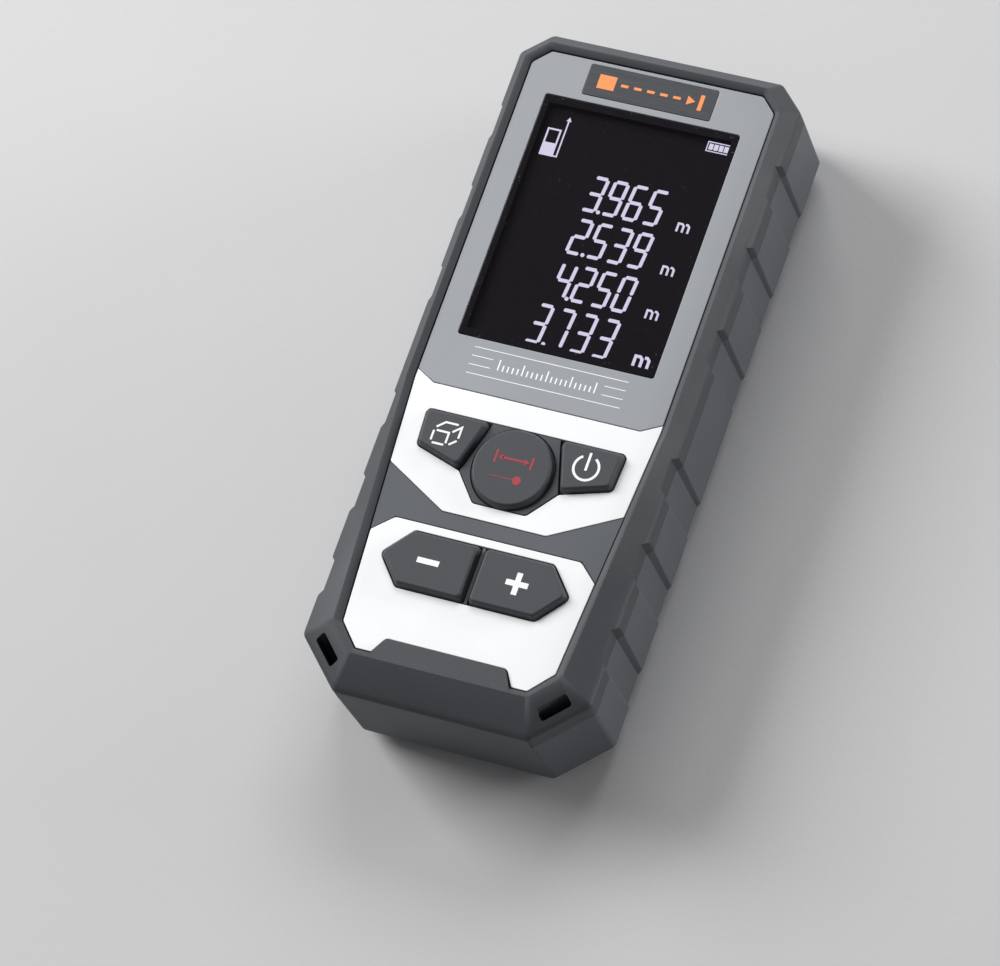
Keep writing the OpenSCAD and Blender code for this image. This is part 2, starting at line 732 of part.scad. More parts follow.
// A cell along +Y whose flat end is at y = 0
module cell() {
    r = cell_d / 2;
    rotate([-90, 0, 0]) rotate_extrude()
        polygon([[0, 0], [r - 0.4, 0], [r, 0.4], [r, cell_l - 1.3], [r - 0.5, cell_l - 0.8],
                 [1.9, cell_l - 0.8], [1.9, cell_l - 0.1], [1.8, cell_l], [0, cell_l]]);
}

module cell_left() {
    color("#8b8f94") translate([-cell_x, bay_high - contact_t - cell_l, cell_z]) cell();
}

module cell_right() {
    color("#8b8f94") translate([cell_x, bay_low + 2 * contact_t + cell_l, cell_z]) rotate([0, 0, 180]) cell();
}

// A conical spring of round wire along +Y: its radius goes from r0 at y = 0 to r1 at y = l
module cone_spring(r0, r1, l, turns) {
    wire = 0.3;
    steps = 14;
    around = 6;
    count = turns * steps;
    rise = l - 2 * wire;
    rings = [for (i = [0 : count])
        let (a = 360 * i / steps, t = i / count, r = r0 + (r1 - r0) * t)
        [for (k = [0 : around - 1])
            let (q = 360 * k / around, d = r + wire * cos(q))
            [d * sin(a), wire + rise * t + wire * sin(q), d * cos(a)]]];
    loft(rings);
}

module bridge_contact() {
    y = bay_low + contact_t;
    color(c_metal) {
        block([-10.4, bay_low, 3.4], [10.4, y, 11.2]);
        translate([-cell_x, y - 0.05, cell_z]) cone_spring(3.5, 2.2, bay_high - cell_l - contact_t - y + 0.04, 3);
        y_rod(cell_x, y - 0.05, cell_z, 1.6, contact_t + 0.05);
    }
}

module positive_contact() {
    color(c_metal) block([-9.8, bay_high - contact_t, 3.4], [-1.4, bay_high, 11.2]);
}

module negative_spring() {
    y = bay_high - contact_t;
    color(c_metal) {
        block([1.4, y, 3.4], [9.8, bay_high, 11.2]);
        translate([cell_x, y + 0.05, cell_z]) rotate([0, 0, 180])
            cone_spring(3.5, 2.2, y - bay_low - 2 * contact_t - cell_l + 0.04, 3);
    }
}

front_frame();
front_housing();
display_bezel();
upper_fascia();
lower_fascia();
badge_plate();
display_window();
display_panel();
backlight();
display_tray();
display_flex();
main_board();
board_chips();
buzzer();
keypad_mat();
key_function();
key_measure();
key_power();
key_minus();
key_plus();
pill_function();
pill_measure();
pill_power();
pill_minus();
pill_plus();
optics_chassis();
laser_barrel();
collimator_lens();
laser_diode();
receiver_lens();
detector_board();
photodiode();
end_plate();
laser_window();
receiver_window();
rear_shell();
battery_cover();
cell_left();
cell_right();
bridge_contact();
positive_contact();
negative_spring();
tripod_insert();
case_seal();
case_screws();
board_screws();
optics_screws();
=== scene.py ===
"""Laser distance meter: rounded mouldings, print, a lit display and finishes on its frame.

It lies on its back: +Z comes out of the display and +Y is where the beam leaves.
Everything is in metres, and a size in millimetres is multiplied by MM.
"""
import json
import math
from contextlib import contextmanager

import bmesh
import bpy
from bpy.props import FloatProperty, FloatVectorProperty, PointerProperty, StringProperty
from mathutils import Euler, Matrix, Vector

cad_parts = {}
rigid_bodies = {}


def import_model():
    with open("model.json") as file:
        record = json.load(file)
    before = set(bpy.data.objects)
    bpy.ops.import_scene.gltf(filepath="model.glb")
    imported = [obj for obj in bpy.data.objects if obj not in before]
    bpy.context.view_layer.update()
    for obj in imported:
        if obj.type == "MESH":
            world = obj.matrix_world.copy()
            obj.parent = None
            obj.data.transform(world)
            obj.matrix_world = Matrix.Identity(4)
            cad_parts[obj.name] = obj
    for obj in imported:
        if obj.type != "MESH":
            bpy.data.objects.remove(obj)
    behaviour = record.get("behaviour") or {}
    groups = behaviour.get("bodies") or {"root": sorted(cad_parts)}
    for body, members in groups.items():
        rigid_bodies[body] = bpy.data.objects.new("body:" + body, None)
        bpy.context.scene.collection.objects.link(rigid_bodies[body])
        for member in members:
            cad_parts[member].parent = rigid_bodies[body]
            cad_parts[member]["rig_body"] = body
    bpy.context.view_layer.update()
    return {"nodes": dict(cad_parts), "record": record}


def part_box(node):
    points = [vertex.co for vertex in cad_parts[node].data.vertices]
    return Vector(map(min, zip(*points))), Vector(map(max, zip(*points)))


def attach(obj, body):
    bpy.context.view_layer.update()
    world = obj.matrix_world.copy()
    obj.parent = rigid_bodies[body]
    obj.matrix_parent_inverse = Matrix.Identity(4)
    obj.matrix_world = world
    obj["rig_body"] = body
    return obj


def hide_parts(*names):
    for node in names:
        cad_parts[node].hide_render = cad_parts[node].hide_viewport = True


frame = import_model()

bl_info = {
    "name": "Laser distance meter",
    "version": (1, 0, 0),
    "blender": (4, 5, 0),
    "location": "View3D > Sidebar > Meter",
    "description": "Builds a handheld laser distance meter around its frame",
    "category": "Object",
}

MM = 0.001
MERGE = 0.001 * MM                 # points closer than this are one point
FLAT = math.radians(0.4)           # faces within this angle are one flat face
EDGE = math.radians(28)            # an edge sharper than this is rounded
SMOOTH = math.radians(38)          # shading is smooth up to this angle
UPRIGHT = 0.05                     # an upright face's normal has less z than this
LEVEL = 0.9                        # a level face's normal has more z than this
STEEP = 0.95                       # an upright edge has more than this share of its run along z

PANEL_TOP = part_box("display_bezel")[1].z
KEY_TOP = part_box("key_power")[1].z
BADGE_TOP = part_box("badge_plate")[1].z
GLASS_LOW, GLASS_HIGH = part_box("display_panel")
MEASURE_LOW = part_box("key_measure")[0]
SIDE_X = 23.5 * MM                 # the side walls lie further out than this
SLOT_X, SLOT_Y = 14 * MM, -47 * MM  # the lanyard slots lie beyond these


# --- settings -----------------------------------------------------------------------------

def length(name, description, default_mm, low_mm, high_mm):
    """A length that a user sets, given in millimetres."""
    return FloatProperty(name=name, description=description, default=default_mm * MM,
                         min=low_mm * MM, max=high_mm * MM, precision=5, unit="LENGTH")


def colour(name, description, default):
    """A colour that a user sets."""
    return FloatVectorProperty(name=name, description=description, default=default,
                               size=3, min=0, max=1, subtype="COLOR")


class MouldingSettings(bpy.types.PropertyGroup):
    """How far the edges of the mouldings are rounded."""
    case_edge: length("Case edges", "Radius of the edges of the frame and the shell", 0.2, 0.05, 0.3)
    inlay_edge: length("Inlay edges", "Radius of the fascias' edges", 0.12, 0.02, 0.2)
    key_edge: length("Key edges", "Radius of the keys' edges", 0.15, 0.02, 0.17)
    fine_edge: length("Fine edges", "Radius of the edges of the pieces inside", 0.08, 0.01, 0.15)


class FinishSettings(bpy.types.PropertyGroup):
    """Colours of the mouldings and the print."""
    rubber: colour("Grip rubber", "Front frame", (0.040, 0.044, 0.050))
    case: colour("Case plastic", "Housing, rear shell and battery cover", (0.076, 0.083, 0.093))
    key: colour("Key rubber", "The five keys", (0.044, 0.048, 0.056))
    bezel: colour("Bezel grey", "Moulding round the display", (0.285, 0.30, 0.32))
    fascia: colour("Fascia white", "The two fascias", (0.86, 0.865, 0.87))
    badge: colour("Badge grey", "Plate above the display", (0.042, 0.046, 0.053))
    white_ink: colour("White ink", "Symbols on the keys, lines on the bezel", (0.85, 0.86, 0.88))
    red_ink: colour("Red ink", "Symbols on the measure key", (0.34, 0.025, 0.038))
    orange_ink: colour("Orange ink", "Pictogram on the badge", (0.87, 0.27, 0.075))


class ReadoutSettings(bpy.types.PropertyGroup):
    """What the display shows."""
    readings: StringProperty(name="Readings", default="3.965 2.539 4.250 3.733",
                             description="Four readings in metres, from the top row down")
    stroke: length("Stroke", "Width of a segment of a digit", 0.6, 0.3, 0.8)
    glow_colour: colour("Glow", "Colour of the lit segments", (0.80, 0.75, 0.97))
    glow: FloatProperty(name="Brightness", description="Strength of the lit segments",
                        default=1.9, min=0.2, max=5)


class StudioSettings(bpy.types.PropertyGroup):
    """Floor, lamps and camera."""
    floor: colour("Floor", "The floor's colour", (0.52, 0.52, 0.525))
    ambient: FloatProperty(name="Ambient", description="Brightness of the room", default=0.2, min=0, max=2)
    overhead: FloatProperty(name="Overhead lamp", description="Its power", default=14, min=0, unit="POWER")
    side: FloatProperty(name="Side lamps", description="Their power", default=7.5, min=0, unit="POWER")


# --- modelling ----------------------------------------------------------------------------

def deselect():
    bpy.ops.object.select_all(action="DESELECT")


def select_only(piece):
    deselect()
    piece.select_set(True)
    bpy.context.view_layer.objects.active = piece


@contextmanager
def editing(piece):
    """Edit mode on this piece alone. Yields its mesh."""
    select_only(piece)
    bpy.ops.object.mode_set(mode="EDIT")
    yield bmesh.from_edit_mesh(piece.data)
    bpy.ops.object.mode_set(mode="OBJECT")


def pick(piece, elements, test):
    """Selects those of a mesh's vertices, edges or faces that pass a test, and nothing else."""
    bpy.ops.mesh.select_all(action="DESELECT")
    for element in elements:
        if test(element):
            element.select_set(True)
    bmesh.update_edit_mesh(piece.data)


def modify(piece, kind, **settings):
    """Adds a modifier and applies it."""
    modifier = piece.modifiers.new(kind.lower(), kind)
    for name, value in settings.items():
        setattr(modifier, name, value)
    select_only(piece)
    bpy.ops.object.modifier_apply(modifier=modifier.name)


def joined(pieces, name):
    """Several pieces as one."""
    select_only(pieces[0])
    for piece in pieces:
        piece.select_set(True)
    bpy.ops.object.join()
    return named(name)


def named(name):
    """The active object under its own name, with its place moved into its mesh."""
    piece = bpy.context.view_layer.objects.active
    piece.name = piece.data.name = name
    bpy.ops.object.transform_apply(location=True, rotation=True, scale=True)
    return piece


def finished(piece, body, material, nodes=()):
    """Hangs a piece on its body, with its finish and the nodes that it stands for."""
    piece.data.materials.clear()
    piece.data.materials.append(material)
    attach(piece, body)
    if nodes:
        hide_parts(*nodes)


def body_of(node):
    return frame["nodes"][node]["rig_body"]


def slot_of(node):
    rows = frame["record"]["subparts"]
    return next(row["material_slot"] for row in rows if row["node"] == node)


def merged_copy(node):
    """A copy of a CAD node with whole flat faces, ready to be shaped."""
    piece = bpy.data.objects.new(node + "_finished", frame["nodes"][node].data.copy())
    bpy.context.scene.collection.objects.link(piece)
    with editing(piece):
        bpy.ops.mesh.customdata_custom_splitnormals_clear()
        bpy.ops.mesh.select_all(action="SELECT")
        bpy.ops.mesh.remove_doubles(threshold=MERGE)
        bpy.ops.mesh.dissolve_limited(angle_limit=FLAT)
    return piece


def round_edges(piece, radius, segments=3):
    """Rounds every sharp edge, as far as the piece's shortest edges allow, and evens out the
    shading of the flat faces."""
    modify(piece, "BEVEL", width=radius, segments=segments, limit_method="ANGLE", angle_limit=EDGE,
           miter_outer="MITER_ARC")
    shade(piece)


def shade(piece):
    """Smooth shading up to the angle SMOOTH, with flat faces that look flat."""
    select_only(piece)
    bpy.ops.object.shade_smooth_by_angle(angle=SMOOTH)
    modify(piece, "WEIGHTED_NORMAL", keep_sharp=True, weight=60)


def middle_of(edge):
    return (edge.verts[0].co + edge.verts[1].co) / 2


def points_out(face, place):
    """Whether an upright face at this place looks away from the middle of the case."""
    axis = "x" if abs(face.normal.x) > 0.5 else "y"
    return getattr(face.normal, axis) * getattr(place, axis) > 0


def trough_corner(edge):
    """Whether an edge is upright where a trough meets a side wall."""
    run = edge.verts[1].co - edge.verts[0].co
    return (edge.is_convex and abs(run.z) > STEEP * run.length and edge.calc_face_angle() > EDGE
            and abs(middle_of(edge).x) > SIDE_X)


def bevel_edges(piece, test, width, segments):
    """Rounds the edges of two faces that pass a test."""
    with editing(piece) as mesh:
        pick(piece, mesh.edges, lambda edge: len(edge.link_faces) == 2 and test(edge))
        bpy.ops.mesh.bevel(offset=width, segments=segments, affect="EDGES", clamp_overlap=False,
                           loop_slide=False, miter_outer="SHARP")


def by_slot(edge):
    """Whether an edge is near one of the two lanyard slots."""
    middle = middle_of(edge)
    return abs(middle.x) > SLOT_X and middle.y < SLOT_Y


def outline_edge(edge, facing):
    """Whether an edge joins an outer side to a level face that faces up (1) or down (-1)."""
    side, level = sorted(edge.link_faces, key=lambda face: abs(face.normal.z))
    return (abs(side.normal.z) < UPRIGHT and level.normal.z * facing > LEVEL
            and points_out(side, middle_of(edge)) and not by_slot(edge))


def raised_edge(edge):
    """A sharp edge round the top of what faces up at the front."""
    low = min(vert.co.z for vert in edge.verts)
    return edge.is_convex and low > PANEL_TOP - 0.2 * MM and edge.calc_face_angle() > EDGE


def stand_in(piece, node, material=None):
    """Puts a shaped piece in a CAD node's place. Its finish is the node's own unless one is given."""
    slot = slot_of(node)
    finished(piece, body_of(node), material or FINISHES[slot](), [node])


def dress(node, radius, material=None, segments=3):
    """A CAD node with every sharp edge rounded, and its finish."""
    piece = merged_copy(node)
    round_edges(piece, radius, segments)
    stand_in(piece, node, material)


def dress_top(node, radius, material=None):
    """A CAD node with only its raised edges at the front rounded, and its finish."""
    piece = merged_copy(node)
    bevel_edges(piece, raised_edge, radius, 3)
    shade(piece)
    stand_in(piece, node, material)


def start_mesh(name):
    """An empty piece that is drawn in edit mode."""
    deselect()
    bpy.ops.mesh.primitive_plane_add(size=MM)
    piece = named(name)
    with editing(piece):
        bpy.ops.mesh.select_all(action="SELECT")
        bpy.ops.mesh.delete(type="VERT")
    return piece


def draw_strokes(name, paths, width, low, height):
    """Strokes of one width along paths of (x, y) points. A path that ends where it starts is closed."""
    piece = start_mesh(name)
    with editing(piece):
        for path in paths:
            points = [Vector((x * MM, y * MM, low)) for x, y in path]
            bpy.ops.mesh.primitive_plane_add(size=MM, location=points[0])
            bpy.ops.mesh.merge(type="CENTER")
            for here, there in zip(points, points[1:]):
                bpy.ops.mesh.extrude_vertices_move(TRANSFORM_OT_translate={"value": there - here})
            bpy.ops.mesh.select_linked()
            bpy.ops.mesh.remove_doubles(threshold=MERGE)
        bpy.ops.mesh.select_all(action="SELECT")
        bpy.ops.mesh.extrude_edges_move(TRANSFORM_OT_translate={"value": (0, 0, height)})
        bpy.ops.mesh.select_all(action="SELECT")
        bpy.ops.mesh.normals_make_consistent(inside=False)
    modify(piece, "SOLIDIFY", thickness=width * MM, offset=0, use_even_offset=True)
    return piece


def add_plates(piece, plates, low, height):
    """Adds filled rectangles (x0, y0, x1, y1) to a piece."""
    with editing(piece):
        for x0, y0, x1, y1 in plates:
            middle = Vector(((x0 + x1) / 2 * MM, (y0 + y1) / 2 * MM, low + height / 2))
            bpy.ops.mesh.primitive_cube_add(size=1, location=middle,
                                            scale=((x1 - x0) * MM, (y1 - y0) * MM, height))


def add_discs(piece, discs, low, height, sides=36, turn=0.0):
    """Adds filled discs (x, y, radius) to a piece. With 3 sides they are arrowheads."""
    with editing(piece):
        for x, y, radius in discs:
            bpy.ops.mesh.primitive_cylinder_add(vertices=sides, radius=radius * MM, depth=height,
                                                location=(x * MM, y * MM, low + height / 2),
                                                rotation=(0, 0, turn))


def arc(x, y, radius, start, stop, steps):
    """Points on an arc, with its angles in degrees."""
    angles = [math.radians(start + (stop - start) * i / steps) for i in range(steps + 1)]
    return [(x + radius * math.cos(a), y + radius * math.sin(a)) for a in angles]


def rectangle(x0, y0, x1, y1):
    """A closed path round a rectangle."""
    return [(x0, y0), (x1, y0), (x1, y1), (x0, y1), (x0, y0)]


# --- finishes -----------------------------------------------------------------------------

class Wire:
    """A number in a material. Python's operators on it add Math nodes."""

    def __init__(self, paint, socket):
        self.paint = paint
        self.socket = socket

    def maths(self, operation, *values):
        return self.paint.node("ShaderNodeMath", {"operation": operation}, dict(enumerate(values)))[0]

    def __add__(self, other):
        return self.maths("ADD", self, other)

    def __sub__(self, other):
        return self.maths("SUBTRACT", self, other)

    def __rsub__(self, other):
        return self.maths("SUBTRACT", other, self)

    def __mul__(self, other):
        return self.maths("MULTIPLY", self, other)

    def __pow__(self, other):
        return self.maths("POWER", self, other)

    def __gt__(self, other):
        return self.maths("GREATER_THAN", self, other)

    def __lt__(self, other):
        return self.maths("LESS_THAN", self, other)

    def __abs__(self):
        return self.maths("ABSOLUTE", self)

    __radd__ = __add__
    __rmul__ = __mul__


class Paint:
    """A material's node tree."""

    def __init__(self, name):
        self.material = bpy.data.materials.new(name)
        self.material.use_nodes = True
        self.tree = self.material.node_tree
        self.tree.nodes.clear()

    def node(self, kind, settings=None, values=None):
        """Adds a node: its settings first, then the values or links of its sockets."""
        new = self.tree.nodes.new(kind)
        for name, value in (settings or {}).items():
            if name == "stops":
                self.set_stops(new.color_ramp, value)
            else:
                setattr(new, name, value)
        for name, value in (values or {}).items():
            if isinstance(value, Wire):
                self.tree.links.new(value.socket, new.inputs[name])
            else:
                new.inputs[name].default_value = value
        outputs = {}
        for index, socket in enumerate(new.outputs):
            outputs[index] = outputs[socket.name] = Wire(self, socket)
        return outputs

    @staticmethod
    def set_stops(ramp, stops):
        while len(ramp.elements) < len(stops):
            ramp.elements.new(0.5)
        for element, (position, shade_of) in zip(ramp.elements, stops):
            element.position = position
            element.color = (*shade_of, 1)

    def place(self, stretch=(1, 1, 1)):
        """The piece's own coordinates, in metres."""
        own = self.node("ShaderNodeTexCoord")["Object"]
        return self.node("ShaderNodeMapping", None, {"Vector": own, "Scale": stretch})[0]

    def axes(self):
        """The piece's own x, y and z."""
        split = self.node("ShaderNodeSeparateXYZ", None, {0: self.place()})
        return split[0], split[1], split[2]

    def noise(self, grain, detail=2.0, stretch=(1, 1, 1)):
        """Cloudy noise around 0.5 with this grain, in metres."""
        return self.node("ShaderNodeTexNoise", None,
                         {"Vector": self.place(stretch), "Scale": 1 / grain, "Detail": detail})[0]

    def cells(self, pitch, feature="F1"):
        """Distance from the nearest of points scattered at this pitch."""
        return self.node("ShaderNodeTexVoronoi", {"feature": feature},
                         {"Vector": self.place(), "Scale": 1 / pitch})[0]

    def stretch(self, value, low, high, to_low=0.0, to_high=1.0):
        """A value spread from one range to another, and clamped."""
        return self.node("ShaderNodeMapRange", None,
                         {0: value, 1: low, 2: high, 3: to_low, 4: to_high})[0]

    def scaled(self, tint, factor):
        """A colour made lighter or darker by a factor."""
        return self.node("ShaderNodeVectorMath", {"operation": "SCALE"}, {0: tint, "Scale": factor})[0]

    def mix(self, factor, a, b):
        """Colour a, or b where factor is 1."""
        a, b = [value if isinstance(value, Wire) else (*value, 1) for value in (a, b)]
        return self.node("ShaderNodeMix", {"data_type": "RGBA"}, {0: factor, 6: a, 7: b})[2]

    def zigzag(self, value, step):
        """A value folded back and forth between 0 and this step."""
        return self.node("ShaderNodeMath", {"operation": "PINGPONG"}, {0: value, 1: step})[0]

    def bump(self, height, depth):
        """The normal of a relief of this depth, in metres."""
        return self.node("ShaderNodeBump", None, {"Height": height, "Distance": depth, "Strength": 1.0})[0]

    def finish(self, **values):
        """The shader, with its sockets named in lower case."""
        named_values = {SOCKETS[name]: value for name, value in values.items()}
        shader = self.node("ShaderNodeBsdfPrincipled", None, named_values)[0]
        self.node("ShaderNodeOutputMaterial", None, {"Surface": shader})
        return self.material


SOCKETS = {
    "base": "Base Color", "rough": "Roughness", "metal": "Metallic", "normal": "Normal",
    "gloss": "Specular IOR Level", "coat": "Coat Weight", "sheen": "Sheen Weight", "alpha": "Alpha",
    "glow": "Emission Color", "glow_strength": "Emission Strength",
}


def kept(make):
    """Makes a finish once and hands it out again after that."""
    made = {}

    def again(*values):
        if values not in made:
            made[values] = make(*values)
        return made[values]
    return again


def moulded(name, tint, grain, relief, rough, gloss=0.5, sheen=0.0):
    """A matte moulding of one colour."""
    return grained(Paint(name), tint, grain, relief, rough, gloss, sheen)


def grained(paint, tint, grain, relief, rough, gloss, sheen):
    """Fine spark-eroded grain, faint clouding and rubbed patches."""
    fine = paint.noise(grain, 1.5)
    cloud = paint.noise(11 * MM, 4)
    rubbed = paint.stretch(paint.noise(26 * MM, 5), 0.5, 0.72)
    shade_of = 0.80 + cloud * 0.22 + fine * 0.20 + rubbed * 0.05
    return paint.finish(base=paint.scaled(tint, shade_of),
                        rough=rough + (cloud - 0.5) * 0.16 - rubbed * 0.06,
                        normal=paint.bump(fine, relief), gloss=gloss, sheen=sheen)


@kept
def grip_rubber():
    look = bpy.context.scene.meter_finish
    return moulded("grip_rubber", look.rubber, 0.20 * MM, 0.035 * MM, 0.60, 0.38, 0.05)


@kept
def case_plastic():
    look = bpy.context.scene.meter_finish
    return moulded("case_plastic", look.case, 0.22 * MM, 0.028 * MM, 0.54, 0.42)


@kept
def housing_plastic():
    """The case's plastic, darker on the raised part between the upper keys."""
    look = bpy.context.scene.meter_finish
    paint = Paint("housing_plastic")
    x, y, _ = paint.axes()
    half_width, below_key = 8.9 * MM, 1.3 * MM
    raised = (abs(x) < half_width) * (y > MEASURE_LOW.y - below_key)
    tint = paint.mix(raised, look.case, look.key)
    return grained(paint, tint, 0.22 * MM, 0.028 * MM, 0.54, 0.42, 0)


@kept
def key_rubber():
    look = bpy.context.scene.meter_finish
    return moulded("key_rubber", look.key, 0.14 * MM, 0.014 * MM, 0.56, 0.34, 0.05)


@kept
def silicone():
    return moulded("silicone", (0.075, 0.078, 0.082), 0.3 * MM, 0.01 * MM, 0.5, 0.4, 0.1)


@kept
def carbon_pill():
    return moulded("carbon_pill", (0.012, 0.012, 0.012), 0.1 * MM, 0.01 * MM, 0.75, 0.2)


@kept
def black_moulding():
    return moulded("black_moulding", (0.016, 0.017, 0.018), 0.25 * MM, 0.02 * MM, 0.48, 0.4)


@kept
def bezel_grey():
    """Satin lacquer with a fine metallic fleck."""
    look = bpy.context.scene.meter_finish
    paint = Paint("bezel_grey")
    fleck = paint.noise(0.12 * MM, 1)
    cloud = paint.noise(16 * MM, 3)
    shade_of = 0.88 + cloud * 0.10 + fleck * 0.14
    return paint.finish(base=paint.scaled(look.bezel, shade_of), rough=0.40 + (fleck - 0.5) * 0.25,
                        normal=paint.bump(fleck, 0.004 * MM), gloss=0.5)


@kept
def fascia_white():
    """Semi-gloss moulding with a faint orange peel and slight handling marks."""
    look = bpy.context.scene.meter_finish
    paint = Paint("fascia_white")
    peel = paint.noise(0.9 * MM, 2)
    cloud = paint.noise(18 * MM, 4)
    marks = paint.stretch(paint.noise(7 * MM, 6), 0.55, 0.75)
    return paint.finish(base=paint.scaled(look.fascia, 0.965 + cloud * 0.05),
                        rough=0.30 + marks * 0.12 + (peel - 0.5) * 0.10,
                        normal=paint.bump(peel, 0.006 * MM), gloss=0.5)


@kept
def badge_grey():
    look = bpy.context.scene.meter_finish
    paint = Paint("badge_grey")
    brushed = paint.noise(0.5 * MM, 2, (0.06, 3, 3))
    shade_of = 0.86 + brushed * 0.28
    return paint.finish(base=paint.scaled(look.badge, shade_of), rough=0.36 + (brushed - 0.5) * 0.3,
                        normal=paint.bump(brushed, 0.003 * MM), gloss=0.5)


@kept
def tinted_window():
    """Dark clear plastic with a glossy, faintly smeared top and a black mask along its border."""
    paint = Paint("tinted_window")
    x, y, _ = paint.axes()
    middle, half = (GLASS_LOW + GLASS_HIGH) / 2, (GLASS_HIGH - GLASS_LOW) / 2
    border = 0.5 * MM
    clear = (abs(x - middle.x) < half.x - border) * (abs(y - middle.y) < half.y - border)
    smear = paint.stretch(paint.noise(9 * MM, 5, (1, 0.5, 1)), 0.45, 0.75)
    dust = paint.stretch(paint.noise(0.35 * MM, 2), 0.70, 0.78)
    return paint.finish(base=paint.mix(dust, (0.008, 0.007, 0.009), (0.10, 0.10, 0.10)),
                        rough=0.05 + smear * 0.10 + dust * 0.3, gloss=0.22, alpha=1 - clear * 0.65)


@kept
def display_glass():
    """The unlit display: near black, with a fine grid of dots."""
    paint = Paint("display_glass")
    x, y, _ = paint.axes()
    grid = [abs(paint.zigzag(axis, 0.1 * MM)) for axis in (x, y)]
    lines = paint.stretch(grid[0].maths("MINIMUM", grid[0], grid[1]), 0, 0.03 * MM, 1, 0)
    cloud = paint.noise(20 * MM, 2)
    dark = paint.scaled((0.021, 0.016, 0.023), 0.85 + cloud * 0.3)
    return paint.finish(base=paint.mix(lines, dark, (0.012, 0.010, 0.014)),
                        rough=0.22 + lines * 0.2, gloss=0.3)


@kept
def lit_segment():
    """Lit segments: an even glow with a faint grain."""
    look = bpy.context.scene.meter_readout
    paint = Paint("lit_segment")
    grain = paint.noise(0.5 * MM, 1)
    glow = paint.scaled(look.glow_colour, 0.93 + grain * 0.14)
    return paint.finish(base=(0.05, 0.05, 0.06, 1), rough=0.5, glow=glow, glow_strength=look.glow)


def ink(name, tint, rough=0.42):
    """Screen-printed ink, a little uneven in cover."""
    paint = Paint(name)
    grain = paint.noise(0.22 * MM, 2)
    cover = paint.noise(2.5 * MM, 3)
    return paint.finish(base=paint.scaled(tint, 0.82 + grain * 0.16 + cover * 0.20),
                        rough=rough + (grain - 0.5) * 0.3, normal=paint.bump(grain, 0.004 * MM))


@kept
def white_ink():
    return ink("white_ink", bpy.context.scene.meter_finish.white_ink)


@kept
def red_ink():
    return ink("red_ink", bpy.context.scene.meter_finish.red_ink)


@kept
def orange_ink():
    return ink("orange_ink", bpy.context.scene.meter_finish.orange_ink)


def machined(name, tint, rough):
    """Metal with fine turning marks and a few stains."""
    paint = Paint(name)
    lines = paint.noise(0.3 * MM, 2, (1, 1, 0.15))
    stain = paint.stretch(paint.noise(2.2 * MM, 4), 0.5, 0.75)
    shade_of = 1.0 - stain * 0.22
    return paint.finish(base=paint.scaled(tint, shade_of), metal=1.0,
                        rough=rough + (lines - 0.5) * 0.2 + stain * 0.15,
                        normal=paint.bump(lines, 0.006 * MM))


@kept
def brass():
    return machined("brass", (0.72, 0.51, 0.22), 0.28)


@kept
def plated_steel():
    return machined("plated_steel", (0.62, 0.62, 0.60), 0.30)


@kept
def spring_steel():
    return machined("spring_steel", (0.72, 0.71, 0.68), 0.24)


def clear_glass(name, tint, alpha, painted_reflection_tint):
    """Coated glass: its colour leans towards the coating's at the rim, a painted reflection of the coating
    that follows the viewing angle.
    """
    paint = Paint(name)
    # Painted reflection: how far the surface turns away from the camera.
    rim = paint.node("ShaderNodeLayerWeight", None, {"Blend": 0.35})["Facing"]
    dust = paint.stretch(paint.noise(0.3 * MM, 2), 0.66, 0.8)
    # Painted reflection: the colour turns to the coating's reflected tint at the rim.
    return paint.finish(base=paint.mix(rim, tint, painted_reflection_tint), rough=0.03 + dust * 0.25,
                        alpha=alpha, gloss=0.9, coat=0.6)


@kept
def lens_glass():
    # The last colour is the lens coating's painted reflection.
    return clear_glass("lens_glass", (0.55, 0.66, 0.72), 0.4, (0.25, 0.20, 0.50))


@kept
def filter_glass():
    # The last colour is the filter coating's painted reflection.
    return clear_glass("filter_glass", (0.16, 0.008, 0.014), 0.8, (0.30, 0.02, 0.10))


@kept
def diffuser_white():
    return moulded("diffuser_white", (0.82, 0.83, 0.85), 0.4 * MM, 0.01 * MM, 0.45)


@kept
def flex_film():
    """Amber film with copper tracks showing through."""
    paint = Paint("flex_film")
    x, _, _ = paint.axes()
    track = paint.stretch(paint.zigzag(x, 0.3 * MM), 0.12 * MM, 0.16 * MM)
    return paint.finish(base=paint.mix(track, (0.30, 0.13, 0.025), (0.52, 0.25, 0.06)),
                        rough=0.3 + track * 0.1, normal=paint.bump(track, 0.01 * MM))


@kept
def circuit_board():
    """Green solder mask over tracks, with tinned vias."""
    paint = Paint("circuit_board")
    bends = paint.noise(5 * MM, 0)
    track = paint.stretch(paint.zigzag(bends * 40, 1.0), 0.52, 0.60)
    dots = paint.cells(2.6 * MM)
    via = (dots < 0.12) * (dots > 0.05)
    mask = paint.mix(track, (0.012, 0.085, 0.032), (0.022, 0.15, 0.055))
    return paint.finish(base=paint.mix(via, mask, (0.70, 0.66, 0.55)), metal=via * 0.9,
                        rough=0.34 - track * 0.06, normal=paint.bump(track + via, 0.02 * MM))


